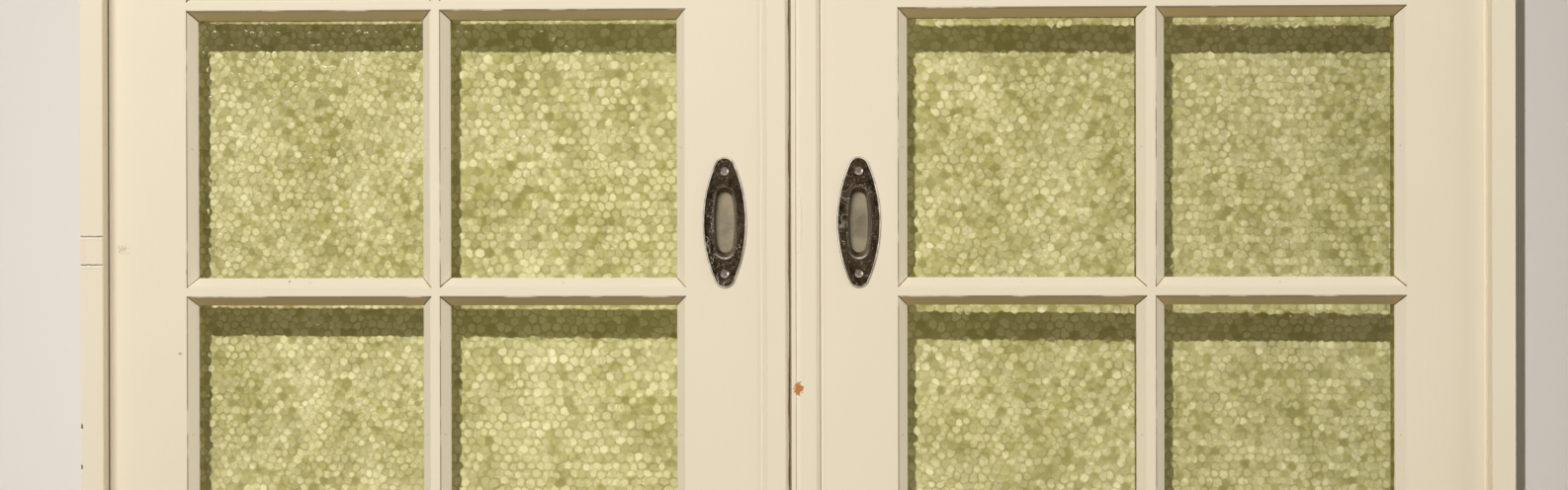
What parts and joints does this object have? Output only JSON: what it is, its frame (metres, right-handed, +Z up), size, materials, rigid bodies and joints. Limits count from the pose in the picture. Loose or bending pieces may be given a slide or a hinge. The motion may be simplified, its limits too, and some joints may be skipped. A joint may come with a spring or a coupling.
{
  "type": "french doors",
  "caption": "Pair of hinged glazed doors in a rebated timber frame, with small square panes, mitred beads, meeting strips and oval flush pulls.",
  "frame": {"origin": "on the floor, midway between the jambs and midway through the depth of frame and hinges", "axes": "+X to the viewer's right, +Y away from the viewer, towards the hinge knuckles, +Z up"},
  "size_m": [1.3594, 0.0644, 2.0371],
  "materials": {
    "cream_paint": "painted softwood, satin cream enamel",
    "repair_block_paint": "painted softwood block, slightly pinker cream",
    "cast_glass": "yellow-green hammered cast glass",
    "pull_nickel": "aged dark nickel plate, polished rim",
    "pull_screws": "aged nickel, raised heads",
    "hinge_steel": "plain steel butt hinges"
  },
  "bodies": {
    "frame": {"head": "cream_paint", "jamb_repair_block": "repair_block_paint", "left_bottom_hinge_frame_leaf": "hinge_steel", "left_hinge_pins": "hinge_steel", "left_jamb": "cream_paint", "left_middle_hinge_frame_leaf": "hinge_steel", "left_top_hinge_frame_leaf": "hinge_steel", "right_bottom_hinge_frame_leaf": "hinge_steel", "right_hinge_pins": "hinge_steel", "right_jamb": "cream_paint", "right_middle_hinge_frame_leaf": "hinge_steel", "right_top_hinge_frame_leaf": "hinge_steel"},
    "left_leaf": {"left_back_pull": "pull_nickel", "left_bottom_hinge_door_leaf": "hinge_steel", "left_bottom_rail": "cream_paint", "left_cross_bars": "cream_paint", "left_front_pull": "pull_nickel", "left_glazing_beads": "cream_paint", "left_hinge_stile": "cream_paint", "left_meeting_stile": "cream_paint", "left_meeting_strip": "cream_paint", "left_middle_hinge_door_leaf": "hinge_steel", "left_panes_row_1": "cast_glass", "left_panes_row_2": "cast_glass", "left_panes_row_3": "cast_glass", "left_panes_row_4": "cast_glass", "left_panes_row_5": "cast_glass", "left_panes_row_6": "cast_glass", "left_pull_screws": "pull_screws", "left_top_hinge_door_leaf": "hinge_steel", "left_top_rail": "cream_paint", "left_vertical_bar": "cream_paint"},
    "right_leaf": {"right_back_pull": "pull_nickel", "right_bottom_hinge_door_leaf": "hinge_steel", "right_bottom_rail": "cream_paint", "right_cross_bars": "cream_paint", "right_front_pull": "pull_nickel", "right_glazing_beads": "cream_paint", "right_hinge_stile": "cream_paint", "right_meeting_lipping": "cream_paint", "right_meeting_stile": "cream_paint", "right_meeting_strip": "cream_paint", "right_middle_hinge_door_leaf": "hinge_steel", "right_panes_row_1": "cast_glass", "right_panes_row_2": "cast_glass", "right_panes_row_3": "cast_glass", "right_panes_row_4": "cast_glass", "right_panes_row_5": "cast_glass", "right_panes_row_6": "cast_glass", "right_pull_screws": "pull_screws", "right_top_hinge_door_leaf": "hinge_steel", "right_top_rail": "cream_paint", "right_vertical_bar": "cream_paint"}
  },
  "joints": [
    {"name": "left_leaf_swing", "type": "hinge", "parent": "frame", "child": "left_leaf", "pos_m": [-0.6676, 0.02725, 1], "axis": [0, 0, 1], "range_deg": [0, 110]},
    {"name": "right_leaf_swing", "type": "hinge", "parent": "frame", "child": "right_leaf", "pos_m": [0.6676, 0.02725, 1], "axis": [0, 0, -1], "range_deg": [0, 110]}
  ]
}
